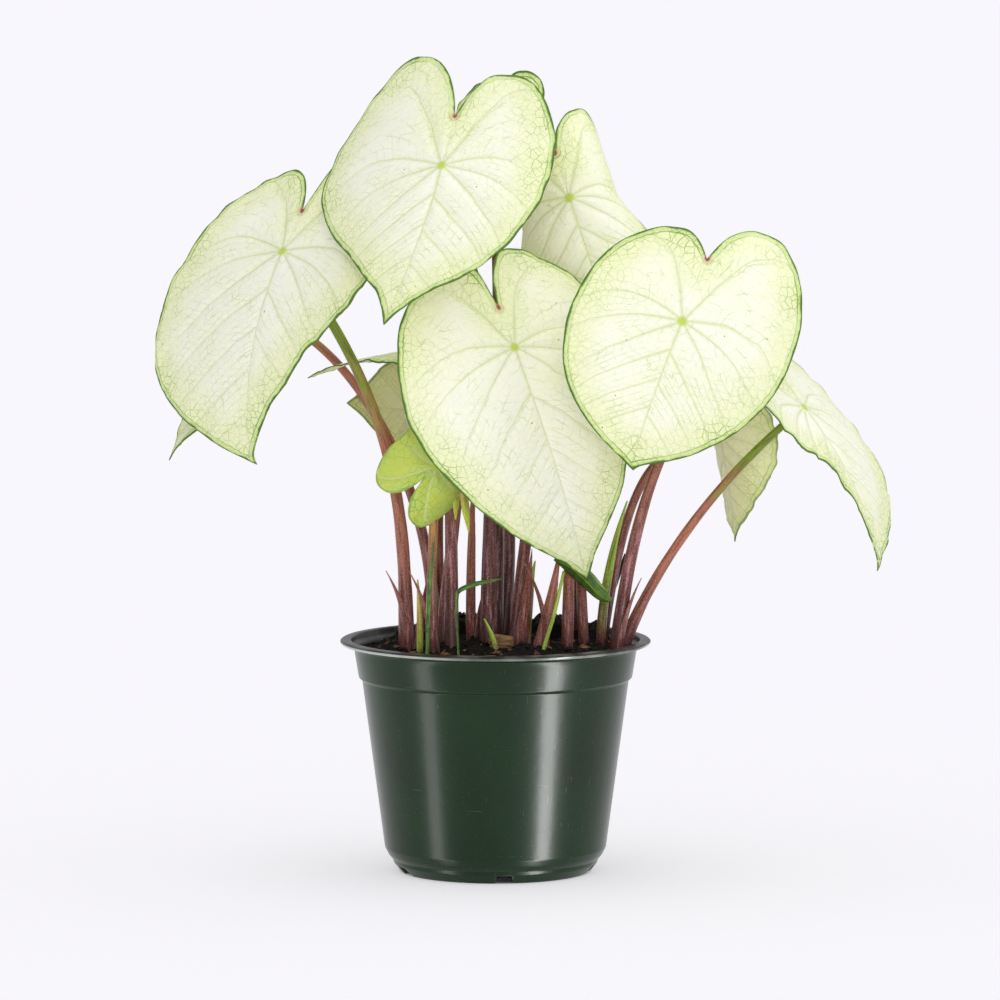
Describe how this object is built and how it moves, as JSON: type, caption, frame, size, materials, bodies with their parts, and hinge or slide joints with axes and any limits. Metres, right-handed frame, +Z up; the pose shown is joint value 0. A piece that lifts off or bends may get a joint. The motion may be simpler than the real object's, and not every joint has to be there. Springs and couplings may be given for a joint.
{
  "type": "potted caladium plant",
  "caption": "Caladium with broad heart-shaped white leaves on reddish stalks, planted in a round green nursery pot that stands on its base.",
  "frame": {"origin": "centre of the pot's base, on the surface it stands on", "axes": "+Z up along the pot's axis; -Y is the front, towards the viewer of the picture; +X to the viewer's right"},
  "size_m": [0.3911, 0.2078, 0.4334],
  "materials": {
    "leaf": "thin living leaf, white with green veins and margin, satin",
    "young_leaf": "thin young leaf, yellow-green, satin",
    "stalk": "smooth mauve-brown leaf stalk with dark speckle, satin",
    "shoot": "rolled green or yellow-green shoot, satin",
    "weed": "dark green thin leaf, satin",
    "pot_plastic": "thin-walled dark green plastic, glossy with fine scuffs",
    "peat": "black peaty potting soil, rough and damp",
    "tuber": "rough brown tuber skin",
    "bark": "rough bark chip"
  },
  "bodies": {
    "root": {"bark_chip": "bark", "bark_chunk": "bark", "blade_behind_high": "leaf", "blade_behind_low": "leaf", "blade_behind_right": "leaf", "blade_centre": "leaf", "blade_far_right": "leaf", "blade_flat": "leaf", "blade_high_back": "leaf", "blade_high_front": "leaf", "blade_left": "leaf", "blade_left_back": "leaf", "blade_low_front": "leaf", "blade_right_back": "leaf", "blade_right_front": "leaf", "blade_young": "young_leaf", "grass_front": "weed", "grass_left": "weed", "pot": "pot_plastic", "shoot_back": "shoot", "shoot_front": "shoot", "shoot_left": "shoot", "shoot_middle": "shoot", "soil": "peat", "spike_centre": "shoot", "spike_right": "shoot", "spike_yellow": "shoot", "sprout_small": "shoot", "stalk_behind_high": "stalk", "stalk_behind_low": "stalk", "stalk_behind_right": "stalk", "stalk_centre": "stalk", "stalk_far_right": "stalk", "stalk_flat": "stalk", "stalk_high_back": "stalk", "stalk_high_front": "stalk", "stalk_left": "stalk", "stalk_left_back": "stalk", "stalk_low_front": "stalk", "stalk_right_back": "stalk", "stalk_right_front": "stalk", "stalk_young": "stalk", "stick": "bark", "tuber_back": "tuber", "tuber_centre": "tuber", "tuber_left": "tuber", "tuber_right": "tuber", "weed_leaf": "weed", "weed_stem": "weed"}
  },
  "joints": []
}
